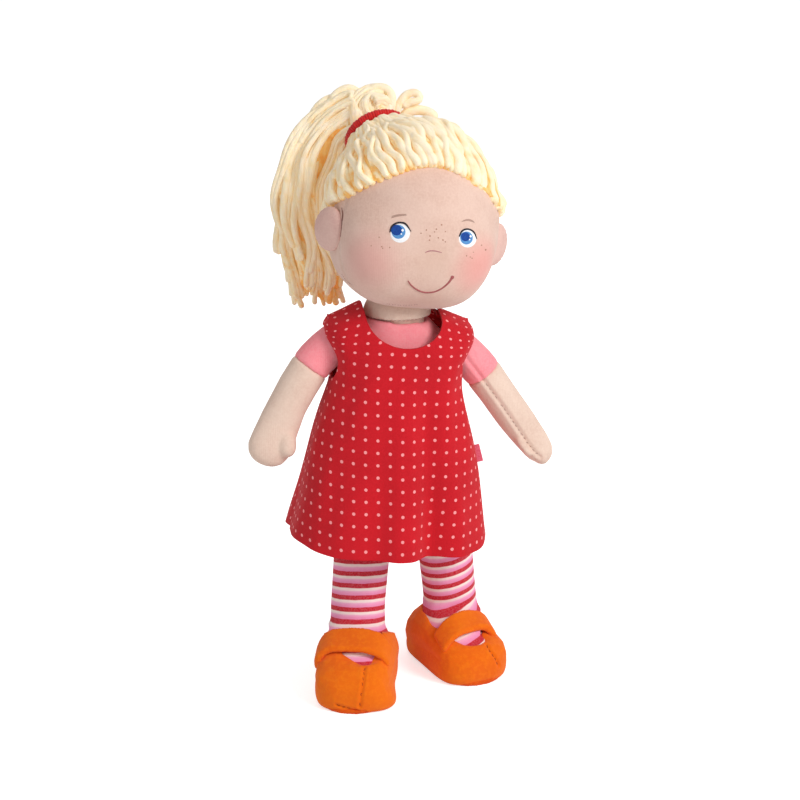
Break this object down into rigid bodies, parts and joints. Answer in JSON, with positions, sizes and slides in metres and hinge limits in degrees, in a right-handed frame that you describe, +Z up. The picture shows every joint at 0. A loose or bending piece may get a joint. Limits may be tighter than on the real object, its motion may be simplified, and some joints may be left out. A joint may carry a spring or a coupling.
{
  "type": "rag doll",
  "caption": "Standing stuffed cloth doll with yarn hair in a side ponytail, a dotted pinafore dress, striped legs and soft strap shoes.",
  "frame": {"origin": "middle of the bounding box's bottom face, on the ground under the soles", "axes": "+Z up, -Y to the doll's front, +X to the doll's left side"},
  "size_m": [0.1572, 0.1218, 0.2987],
  "materials": {
    "skin_cloth": "brushed tricot",
    "shirt_jersey": "cotton jersey",
    "yarn": "thick soft yarn",
    "elastic": "covered elastic",
    "striped_jersey": "red, pink and white striped jersey",
    "dress_cotton": "red cotton with small pink dots",
    "hook_and_loop": "hook-and-loop pile",
    "tag_ribbon": "blank satin ribbon",
    "shoe_fleece": "matte fleece"
  },
  "bodies": {
    "torso": {"torso": "shirt_jersey", "dress_front": "dress_cotton", "dress_back": "dress_cotton", "dress_tag": "tag_ribbon", "dress_closure_left": "hook_and_loop", "dress_closure_right": "hook_and_loop"},
    "neck": {"neck": "skin_cloth"},
    "head": {"head": "skin_cloth", "ear_left": "skin_cloth", "ear_right": "skin_cloth", "hair_cap": "yarn", "hair_tie": "elastic"},
    "ponytail": {"ponytail": "yarn"},
    "arm_left": {"sleeve_left": "shirt_jersey", "hand_left": "skin_cloth"},
    "arm_right": {"sleeve_right": "shirt_jersey", "hand_right": "skin_cloth"},
    "leg_left": {"leg_left": "striped_jersey", "shoe_upper_left": "shoe_fleece", "shoe_sole_left": "shoe_fleece", "shoe_patch_left": "hook_and_loop"},
    "strap_left": {"shoe_strap_left": "shoe_fleece"},
    "leg_right": {"leg_right": "striped_jersey", "shoe_upper_right": "shoe_fleece", "shoe_sole_right": "shoe_fleece", "shoe_patch_right": "hook_and_loop"},
    "strap_right": {"shoe_strap_right": "shoe_fleece"}
  },
  "joints": [
    {"name": "head_turn", "type": "hinge", "parent": "torso", "child": "neck", "pos_m": [0.00006, -0.00252, 0.188], "axis": [0, 0, 1], "range_deg": [-40, 40]},
    {"name": "head_nod", "type": "hinge", "parent": "neck", "child": "head", "pos_m": [0.00006, -0.00252, 0.188], "axis": [1, 0, 0], "range_deg": [-20, 20]},
    {"name": "ponytail_swing", "type": "hinge", "parent": "head", "child": "ponytail", "pos_m": [-0.00439, 0.0245, 0.27508], "axis": [0.742, 0.624, -0.245], "range_deg": [0, 25]},
    {"name": "arm_left_swing", "type": "hinge", "parent": "torso", "child": "arm_left", "pos_m": [0.03256, -0.00252, 0.16908], "axis": [-1, 0, 0], "range_deg": [-45, 120]},
    {"name": "arm_right_swing", "type": "hinge", "parent": "torso", "child": "arm_right", "pos_m": [-0.03244, -0.00252, 0.17492], "axis": [-1, 0, 0], "range_deg": [-45, 120]},
    {"name": "hip_left_swing", "type": "hinge", "parent": "torso", "child": "leg_left", "pos_m": [0.02156, -0.00252, 0.095], "axis": [-1, 0, 0], "range_deg": [-35, 78], "deforming": ["dress_front", "dress_back"]},
    {"name": "strap_left_open", "type": "hinge", "parent": "leg_left", "child": "strap_left", "pos_m": [0.01408, -0.02194, 0.02375], "axis": [0.2463, -0.8865, -0.3919], "range_deg": [0, 70]},
    {"name": "hip_right_swing", "type": "hinge", "parent": "torso", "child": "leg_right", "pos_m": [-0.01244, -0.00252, 0.095], "axis": [-1, 0, 0], "range_deg": [-45, 65]},
    {"name": "strap_right_open", "type": "hinge", "parent": "leg_right", "child": "strap_right", "pos_m": [-0.0113, -0.04515, 0.02375], "axis": [0.3376, 0.8559, 0.3919], "range_deg": [0, 70]}
  ]
}
